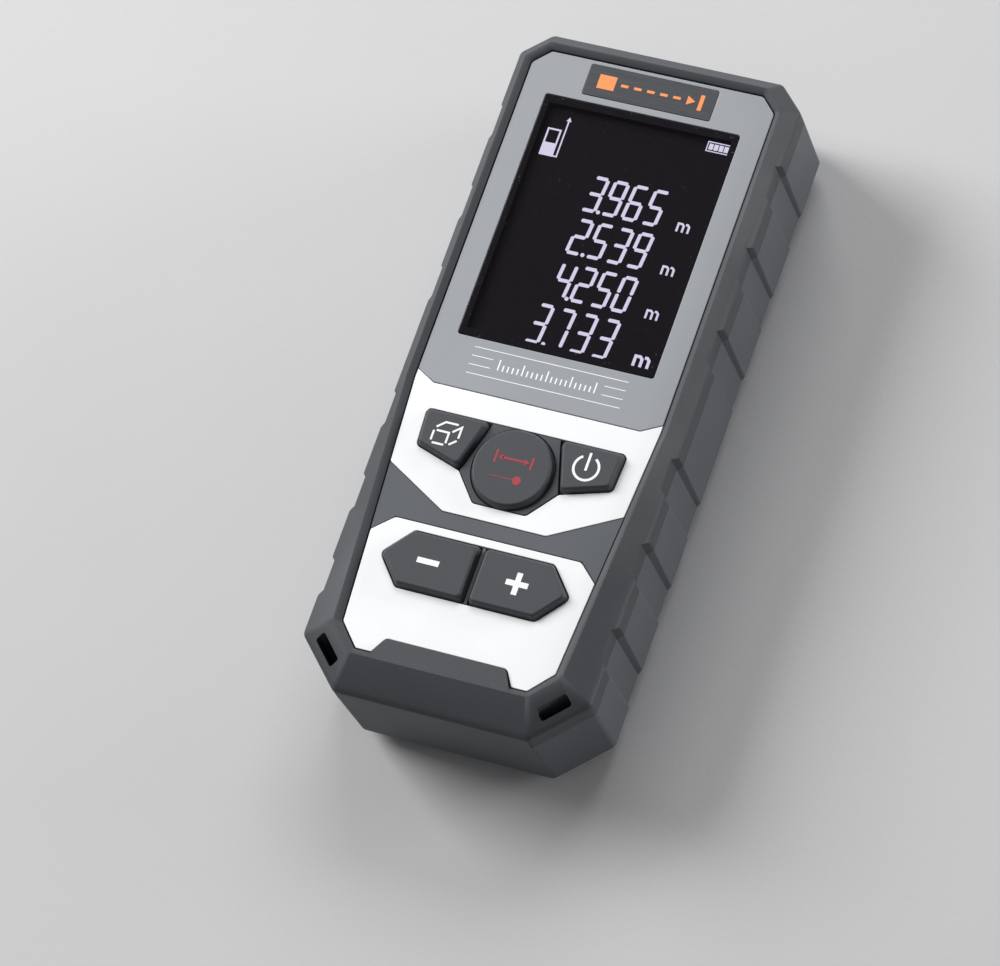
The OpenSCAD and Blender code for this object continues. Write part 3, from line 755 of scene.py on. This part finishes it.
def cell_jacket(node, positive):
    """Printed sleeve of a cell, with bare metal at both ends. Positive is +1 or -1 along Y."""
    low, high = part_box(node)
    middle = (low + high) / 2
    radius = (high.x - low.x) / 2
    half = (high.y - low.y) / 2
    paint = Paint(node + "_jacket")
    x, y, z = paint.axes()
    along = (y - middle.y) * positive
    out = ((x - middle.x) ** 2 + (z - middle.z) ** 2) ** 0.5
    scuffs = paint.noise(0.6 * MM, 3, (1, 0.1, 1))
    band = along > half * 0.62
    stripe = (along > half * 0.56) * (along < half * 0.60)
    ends = 1 - (out > radius - 0.25 * MM) * (abs(along + 0.4 * MM) < half - 0.9 * MM)
    sleeve = paint.mix(band, (0.055, 0.06, 0.07), (0.10, 0.28, 0.34))
    sleeve = paint.mix(stripe, sleeve, (0.75, 0.76, 0.78))
    return paint.finish(base=paint.mix(ends, sleeve, (0.66, 0.66, 0.64)), metal=ends * 0.95,
                        rough=0.30 + (scuffs - 0.5) * 0.25, normal=paint.bump(scuffs, 0.008 * MM))


FINISHES = {
    "grip_rubber": grip_rubber, "case_plastic": case_plastic, "display_bezel_grey": bezel_grey,
    "fascia_white": fascia_white, "badge_grey": badge_grey, "window_glass": tinted_window,
    "panel_glass": display_glass, "backlight_white": diffuser_white, "flex_film": flex_film,
    "circuit_board": circuit_board, "chip_plastic": black_moulding, "mat_silicone": silicone,
    "key_rubber": key_rubber, "carbon_pill": carbon_pill, "chassis_black": black_moulding,
    "brass": brass, "lens_glass": lens_glass, "filter_glass": filter_glass,
    "can_metal": plated_steel, "contact_steel": spring_steel, "screw_steel": plated_steel,
}


# --- operators ----------------------------------------------------------------------------

class Build:
    """What the operators share."""
    bl_options = {"REGISTER", "UNDO"}

    def execute(self, context):
        self.build(context.scene)
        return {"FINISHED"}


class METER_OT_frame(Build, bpy.types.Operator):
    """Front frame"""
    bl_idname = "meter.frame"
    bl_label = "Front frame"

    def build(self, scene):
        look = scene.meter_moulding
        piece = merged_copy("front_frame")
        bevel_edges(piece, trough_corner, look.case_edge, 2)
        bevel_edges(piece, self.lower_edge, look.case_edge, 2)
        shade(piece)
        stand_in(piece, "front_frame")

    def lower_edge(self, edge):
        """Round the frame's underside."""
        return outline_edge(edge, -1)


class METER_OT_case(Build, bpy.types.Operator):
    """Front housing, rear shell, battery cover and the seal between them"""
    bl_idname = "meter.case"
    bl_label = "Case"
    rim_depth = 6 * MM                 # the rim is higher than this far below the panel
    rim_reach = 22 * MM                # and further than this from the middle of the case

    def build(self, scene):
        look = scene.meter_moulding
        dress_top("front_housing", look.inlay_edge, housing_plastic())
        dress("battery_cover", look.case_edge)
        dress("case_seal", look.fine_edge)
        shell = merged_copy("rear_shell")
        bevel_edges(shell, trough_corner, look.case_edge, 2)
        bevel_edges(shell, self.rim, look.case_edge, 2)
        shade(shell)
        stand_in(shell, "rear_shell")

    def rim(self, edge):
        """Round the shell's rim, away from what stands up inside it."""
        middle = middle_of(edge)
        return (outline_edge(edge, 1) and middle.z > PANEL_TOP - self.rim_depth
                and middle.xy.length > self.rim_reach)


class METER_OT_front(Build, bpy.types.Operator):
    """Bezel, the two fascias and the badge plate"""
    bl_idname = "meter.front"
    bl_label = "Front inlays"

    def build(self, scene):
        look = scene.meter_moulding
        for node in ("display_bezel", "upper_fascia", "lower_fascia"):
            dress_top(node, look.inlay_edge)
        dress("badge_plate", look.fine_edge)


class METER_OT_keys(Build, bpy.types.Operator):
    """The five keys with their contact pills, and the keypad mat"""
    bl_idname = "meter.keys"
    bl_label = "Keys"

    def build(self, scene):
        look = scene.meter_moulding
        for key in ("function", "measure", "power", "minus", "plus"):
            dress_top("key_" + key, look.key_edge)
            dress("pill_" + key, look.fine_edge)
        dress("keypad_mat", look.fine_edge)


class METER_OT_display(Build, bpy.types.Operator):
    """Display window, display, backlight, tray and flexible lead"""
    bl_idname = "meter.display"
    bl_label = "Display"

    def build(self, scene):
        look = scene.meter_moulding
        for node in ("display_window", "display_panel", "backlight", "display_tray"):
            dress(node, look.fine_edge)
        dress("display_flex", look.fine_edge / 4)


class METER_OT_electronics(Build, bpy.types.Operator):
    """Main board with its chips and buzzer"""
    bl_idname = "meter.electronics"
    bl_label = "Electronics"

    def build(self, scene):
        look = scene.meter_moulding
        for node in ("main_board", "board_chips", "buzzer"):
            dress(node, look.fine_edge)


class METER_OT_optics(Build, bpy.types.Operator):
    """Optics chassis, end plate, lenses, windows, laser and detector"""
    bl_idname = "meter.optics"
    bl_label = "Optics"

    def build(self, scene):
        look = scene.meter_moulding
        for node in ("optics_chassis", "end_plate", "laser_barrel", "collimator_lens", "laser_diode",
                     "receiver_lens", "detector_board", "photodiode", "laser_window", "receiver_window"):
            dress(node, look.fine_edge)


class METER_OT_cells(Build, bpy.types.Operator):
    """The two cells and their contacts"""
    bl_idname = "meter.cells"
    bl_label = "Cells"

    def build(self, scene):
        look = scene.meter_moulding
        for node, positive in (("cell_left", 1), ("cell_right", -1)):
            dress(node, look.fine_edge, cell_jacket(node, positive))
        for node in ("bridge_contact", "positive_contact", "negative_spring"):
            dress(node, look.fine_edge / 4, segments=1)


class METER_OT_fasteners(Build, bpy.types.Operator):
    """Screws and the tripod insert with its thread"""
    bl_idname = "meter.fasteners"
    bl_label = "Fasteners"
    root, crest, pitch = 3.175 * MM, 2.6 * MM, 1.27 * MM    # the thread's radii and pitch
    turns = 4
    in_wall = 0.05 * MM                # how far the ridge reaches into the wall

    def build(self, scene):
        look = scene.meter_moulding
        for node in ("case_screws", "board_screws", "optics_screws"):
            dress(node, look.fine_edge)
        self.insert(look.fine_edge)

    def insert(self, radius):
        """The insert with its bore opened to the thread's outer radius, and a ridge wound inside it."""
        low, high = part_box("tripod_insert")
        axis = (low + high) / 2
        piece = merged_copy("tripod_insert")
        with editing(piece) as mesh:
            pick(piece, mesh.verts, lambda v: (v.co.xy - axis.xy).length < self.crest + 0.2 * MM)
            widen = self.root / self.crest
            bpy.ops.transform.resize(value=(widen, widen, 1), center_override=axis)
        round_edges(piece, radius)
        ridge = self.ridge(axis, low.z)
        stand_in(joined([piece, ridge], "tripod_insert_finished"), "tripod_insert")

    def ridge(self, axis, start):
        """A three-sided ridge along a helix, closed at both ends."""
        piece = start_mesh("thread_ridge")
        half = self.pitch * 0.45
        outer = self.root + self.in_wall
        corners = [(outer, -half), (self.crest, 0), (outer, half)]
        with editing(piece):
            bpy.ops.mesh.primitive_circle_add(vertices=3, radius=MM)
        for vert, (x, z) in zip(piece.data.vertices, corners):
            vert.co = (x, 0, z)
        modify(piece, "SCREW", angle=math.tau, screw_offset=self.pitch, iterations=self.turns,
               steps=36, render_steps=36, use_merge_vertices=False)
        with editing(piece):
            bpy.ops.mesh.select_all(action="DESELECT")
            bpy.ops.mesh.select_non_manifold()
            bpy.ops.mesh.fill_holes(sides=0)
            bpy.ops.mesh.select_all(action="SELECT")
            bpy.ops.mesh.normals_make_consistent(inside=False)
            bpy.ops.transform.translate(value=(axis.x, axis.y, start + self.pitch))
        shade(piece)
        return piece


class METER_OT_key_print(Build, bpy.types.Operator):
    """Symbols on the keys"""
    bl_idname = "meter.key_print"
    bl_label = "Key symbols"
    sunk = 0.01 * MM
    height = 0.035 * MM

    def build(self, scene):
        low = KEY_TOP - self.sunk
        self.power(low)
        self.volume(low)
        self.distance(low)
        self.signs(low)

    def power(self, low):
        """An open ring with a bar in its gap."""
        x, y, radius = 11.95, -14.0, 2.1
        ring = arc(x, y, radius, 122, 418, 40)
        bar = [(x, y + 2.65), (x, y - 0.45)]
        symbol = draw_strokes("power_symbol", [ring, bar], 0.42, low, self.height)
        finished(symbol, "power_key", white_ink())

    def volume(self, low):
        """A cube in broken lines."""
        lines = [
            [(-14.6, -13.75), (-14.6, -15.45)],
            [(-14.25, -15.85), (-12.25, -15.85)],
            [(-14.15, -13.65), (-12.0, -13.65), (-12.0, -15.5)],
            [(-14.4, -13.1), (-13.1, -12.0), (-10.9, -12.0)],
            [(-11.5, -13.4), (-10.2, -12.3), (-10.2, -14.25)],
            [(-11.4, -15.6), (-10.3, -14.7)],
        ]
        symbol = draw_strokes("cube_symbol", lines, 0.34, low, self.height)
        finished(symbol, "function_key", white_ink())

    def distance(self, low):
        """A dimension line between two stops, over a beam that ends in a dot."""
        y, reach, beam_y = -15.5, 3.1, -18.85
        line = [[(-reach, y - 1.1), (-reach, y + 1.1)], [(reach, y - 1.1), (reach, y + 1.1)],
                [(-reach + 1.1, y), (reach - 1.1, y)]]
        symbol = draw_strokes("distance_symbol", line, 0.36, low, self.height)
        beam = draw_strokes("beam_line", [[(-3.05, beam_y), (0.9, beam_y)]], 0.12, low, self.height)
        add_discs(beam, [(1.6, beam_y, 0.75)], low, self.height)
        add_discs(symbol, [(-reach + 1.0, y, 0.62)], low, self.height, 3, math.radians(90))
        add_discs(symbol, [(reach - 1.0, y, 0.62)], low, self.height, 3, math.radians(-90))
        finished(joined([symbol, beam], "distance_symbol"), "measure_key", red_ink())

    def signs(self, low):
        """Minus and plus."""
        reach, half, y = 1.9, 0.475, -35.5
        x = -7.8
        minus = start_mesh("minus_symbol")
        add_plates(minus, [(x - reach, y - half, x + reach, y + half)], low, self.height)
        finished(minus, "minus_key", white_ink())
        x = 7.6
        bar = (x - reach, y - half, x + reach, y + half)
        arms = [(x - half, y + half, x + half, y + reach), (x - half, y - reach, x + half, y - half)]
        plus = start_mesh("plus_symbol")
        add_plates(plus, [bar] + arms, low, self.height)
        finished(plus, "plus_key", white_ink())


class METER_OT_panel_print(Build, bpy.types.Operator):
    """Lines and a scale under the display, and the badge's pictogram"""
    bl_idname = "meter.panel_print"
    bl_label = "Panel print"
    sunk = 0.01 * MM
    height = 0.03 * MM

    def build(self, scene):
        low = PANEL_TOP - self.sunk
        edge, inner = 13.4, 9.7
        rows = [[(-edge, y), (edge, y)] for y in (2.1, -2.5)]
        rows += [[(s * inner, y), (s * edge, y)] for s in (-1, 1) for y in (0.57, -0.97)]
        lines = draw_strokes("bezel_lines", rows, 0.13, low, self.height)
        ticks = []
        pitch, foot, short, long = 0.84, -1.05, 1.05, 1.9
        for i in range(-10, 11):
            tall = short if i % 5 else long
            ticks.append([(i * pitch, foot), (i * pitch, foot + tall)])
        scale = draw_strokes("bezel_scale", ticks, 0.24, low, self.height)
        finished(joined([lines, scale], "bezel_lines"), "case", white_ink())
        self.pictogram(BADGE_TOP - self.sunk)

    def pictogram(self, low):
        """A meter, its beam in dashes, and the wall that the beam meets."""
        y, half = 51.8, 1.25
        first, pitch, dash, thin = -5.2, 2.3, 1.3, 0.24
        mark = start_mesh("badge_pictogram")
        starts = [first + pitch * i for i in range(5)]
        dashes = [(x, y - thin, x + dash, y + thin) for x in starts]
        meter = [(-9.2, y - half, -6.2, y + half)]
        wall = [(8.5, y - half - 0.15, 9.2, y + half + 0.15)]
        add_plates(mark, meter + dashes + wall, low, self.height)
        add_discs(mark, [(6.9, y, 0.95)], low, self.height, 3, math.radians(-90))
        finished(mark, "case", orange_ink())


class METER_OT_readout(Build, bpy.types.Operator):
    """Digits, units and symbols that the display shows"""
    bl_idname = "meter.readout"
    bl_label = "Readout"
    low = GLASS_HIGH.z + 0.015 * MM
    height = 0.04 * MM
    slant = 0.086                      # how far a digit leans for each unit of its height
    digit_w = 2.2
    gap = 0.16                         # between the ends of two segments
    lit = {"0": "abcdef", "1": "bc", "2": "abged", "3": "abgcd", "4": "fgbc", "5": "afgcd",
           "6": "afgedc", "7": "abc", "8": "abcdefg", "9": "abcdfg"}

    def build(self, scene):
        look = scene.meter_readout
        # Left end, bottom, distance between digits and height of each row
        rows = [(-4.73, 29.76, 3.52, 5.9), (-4.73, 21.96, 3.52, 5.9),
                (-4.73, 14.01, 3.52, 5.9), (-6.2, 5.56, 3.87, 6.55)]
        digits = []
        dots = []
        for reading, (x, y, pitch, tall) in zip(look.readings.split(), rows):
            across = self.segment(self.digit_w, look.stroke / MM, True)
            upright = self.segment(tall / 2, look.stroke / MM, False)
            for place, digit in enumerate(reading.replace(".", "")):
                corner = Vector((x + pitch * place, y))
                digits += self.digit(digit, corner, tall, across, upright)
            dots.append((x + pitch * reading.index(".") - 0.68, y + 0.02, 0.34))
            for master in (across, upright):
                bpy.data.objects.remove(master)
        piece = joined(digits, "display_digits")
        add_discs(piece, dots, self.low, self.height)
        finished(piece, "case", lit_segment())
        self.units(rows)
        self.symbols()

    def segment(self, run, width, level):
        """One segment of a digit, pointed at both ends, at the origin."""
        point = width / math.sqrt(3)
        deselect()
        bpy.ops.mesh.primitive_cylinder_add(vertices=6, radius=point * MM, depth=self.height,
                                            location=(0, 0, self.low + self.height / 2))
        piece = named("segment")
        reach = (run - self.gap) / 2 - point
        with editing(piece) as mesh:
            for side in (1, -1):
                pick(piece, mesh.verts, lambda v: v.co.y * side > 0.02 * MM)
                bpy.ops.transform.translate(value=(0, side * reach * MM, 0))
            if level:
                bpy.ops.mesh.select_all(action="SELECT")
                bpy.ops.transform.rotate(value=math.radians(90), orient_axis="Z",
                                         center_override=(0, 0, 0))
        return piece

    def digit(self, digit, corner, tall, across, upright):
        """The lit segments of one digit, leaning over."""
        w, h = self.digit_w, tall
        places = {"a": (w / 2, h), "g": (w / 2, h / 2), "d": (w / 2, 0), "b": (w, h * 0.75),
                  "c": (w, h * 0.25), "e": (0, h * 0.25), "f": (0, h * 0.75)}
        made = []
        for letter in self.lit[digit]:
            x, y = places[letter]
            lean = Matrix.Identity(4)
            lean[0][1] = self.slant
            lean[0][3] = (corner.x + x + self.slant * y) * MM
            lean[1][3] = (corner.y + y) * MM
            master = across if letter in "agd" else upright
            piece = bpy.data.objects.new("lit_" + letter, master.data.copy())
            piece.data.transform(lean)
            bpy.context.scene.collection.objects.link(piece)
            made.append(piece)
        return made

    def letter_m(self, x, y, w, h):
        """Paths of a small m."""
        middle, bend = w / 2, w * 0.16
        arch = [(0, 0), (0, h), (middle - bend, h), (middle, h - bend), (middle, 0)]
        second = [(middle + bend, h), (w - bend, h), (w, h - bend), (w, 0)]
        return [[(x + a, y + b) for a, b in path] for path in (arch, second)]

    def units(self, rows):
        """The unit after each reading, larger in the last row."""
        small = []
        for _, y, _, _ in rows[:3]:
            small += self.letter_m(11.85, y - 0.2, 1.9, 1.45)
        unit = draw_strokes("display_units", small, 0.36, self.low, self.height)
        large = draw_strokes("last_unit", self.letter_m(12.6, rows[3][1] - 0.1, 2.4, 1.75), 0.5,
                             self.low, self.height)
        finished(joined([unit, large], "display_units"), "case", lit_segment())

    def symbols(self):
        """The edge that is measured from, and the charge left."""
        left, right, base, top = -14.98, -12.83, 37.66, 42.3
        mast = right + 0.78
        device = draw_strokes("device_outline", [rectangle(left, base, right, top)], 0.3,
                              self.low, self.height)
        arrow = draw_strokes("device_arrow", [[(right + 0.15, base), (mast, base), (mast, top + 2)]],
                             0.24, self.low, self.height)
        add_plates(device, [(left + 0.15, base + 0.15, right - 0.15, base + 2.2)], self.low, self.height)
        add_discs(arrow, [(mast, top + 2.1, 0.5)], self.low, self.height, 3)
        x0, y0, x1, y1 = 11.95, 44.4, 15.95, 46.05
        battery = draw_strokes("battery_outline", [rectangle(x0, y0, x1, y1)], 0.17, self.low, self.height)
        starts = [x0 + 0.3 + 0.88 * i for i in range(4)]
        cells = [(x, y0 + 0.3, x + 0.72, y1 - 0.3) for x in starts]
        add_plates(battery, cells + [(x1 + 0.09, y0 + 0.45, x1 + 0.4, y1 - 0.45)], self.low, self.height)
        finished(joined([device, arrow, battery], "display_symbols"), "case", lit_segment())


class METER_OT_stage(Build, bpy.types.Operator):
    """Floor, soft lamps and camera"""
    bl_idname = "meter.stage"
    bl_label = "Stage"

    def build(self, scene):
        look = scene.meter_studio
        self.floor(look.floor)
        self.lamp("upper_left", (-0.88, 0.24, 0.66), (0.55, 0.60), look.overhead)
        self.lamp("upper_back", (-0.05, 0.88, 0.72), (0.80, 0.45), look.overhead / 2)
        self.lamp("right", (1.0, 0.50, 0.16), (0.5, 0.22), look.side)
        world = bpy.data.worlds.new("room")
        world.use_nodes = True
        background = world.node_tree.nodes["Background"]
        background.inputs["Color"].default_value = (0.97, 0.98, 1.0, 1)
        background.inputs["Strength"].default_value = look.ambient
        scene.world = world
        scene.view_settings.view_transform = "Standard"
        self.camera(scene)

    def floor(self, tint):
        """A pale floor with a faint mottle."""
        deselect()
        bpy.ops.mesh.primitive_grid_add(x_subdivisions=8, y_subdivisions=8, size=8,
                                        location=(0, 0, -0.02 * MM))
        piece = named("studio_floor")
        paint = Paint("floor_paint")
        cloud = paint.noise(60 * MM, 5)
        grain = paint.noise(0.8 * MM, 2)
        shade_of = 0.94 + cloud * 0.08 + grain * 0.04
        piece.data.materials.append(
            paint.finish(base=paint.scaled(tint, shade_of), rough=0.6 + grain * 0.1,
                         normal=paint.bump(grain, 0.02 * MM), gloss=0.3))

    def lamp(self, name, place, size, power):
        """A soft box that faces the object."""
        data = bpy.data.lights.new(name + "_lamp", "AREA")
        data.shape = "RECTANGLE"
        data.size, data.size_y = size
        data.energy = power
        lamp = bpy.data.objects.new(name + "_lamp", data)
        bpy.context.scene.collection.objects.link(lamp)
        lamp.location = place
        lamp.rotation_euler = (-Vector(place)).to_track_quat("-Z", "Y").to_euler()

    def camera(self, scene):
        """Looks down at the display from the lower right, and leans."""
        data = bpy.data.cameras.new("camera")
        data.lens = 218.8
        data.clip_start, data.clip_end = 0.05, 20
        camera = bpy.data.objects.new("camera", data)
        scene.collection.objects.link(camera)
        camera.location = Vector((322.6, -307.5, 890.1)) * MM
        camera.rotation_euler = Euler([math.radians(a) for a in (23.113, 13.521, 19.642)], "XYZ")
        scene.camera = camera


OPERATORS = (METER_OT_frame, METER_OT_case, METER_OT_front, METER_OT_keys, METER_OT_display,
             METER_OT_electronics, METER_OT_optics, METER_OT_cells, METER_OT_fasteners,
             METER_OT_key_print, METER_OT_panel_print, METER_OT_readout, METER_OT_stage)

SETTINGS = {"meter_moulding": MouldingSettings, "meter_finish": FinishSettings,
            "meter_readout": ReadoutSettings, "meter_studio": StudioSettings}


class METER_PT_panel(bpy.types.Panel):
    """Lists the settings and the steps of the build"""
    bl_idname = "METER_PT_panel"
    bl_label = "Laser distance meter"
    bl_space_type = "VIEW_3D"
    bl_region_type = "UI"
    bl_category = "Meter"

    def draw(self, context):
        for name, group in SETTINGS.items():
            box = self.layout.box()
            for field in group.__annotations__:
                box.prop(getattr(context.scene, name), field)
        for operator in OPERATORS:
            self.layout.operator(operator.bl_idname)


def register():
    for group in SETTINGS.values():
        bpy.utils.register_class(group)
    for name, group in SETTINGS.items():
        setattr(bpy.types.Scene, name, PointerProperty(type=group))
    for operator in OPERATORS:
        bpy.utils.register_class(operator)
    bpy.utils.register_class(METER_PT_panel)


def unregister():
    bpy.utils.unregister_class(METER_PT_panel)
    for operator in reversed(OPERATORS):
        bpy.utils.unregister_class(operator)
    for name, group in SETTINGS.items():
        delattr(bpy.types.Scene, name)
        bpy.utils.unregister_class(group)


def main():
    register()
    for operator in OPERATORS:
        group, name = operator.bl_idname.split(".")
        getattr(getattr(bpy.ops, group), name)()


if __name__ == "__main__":
    main()
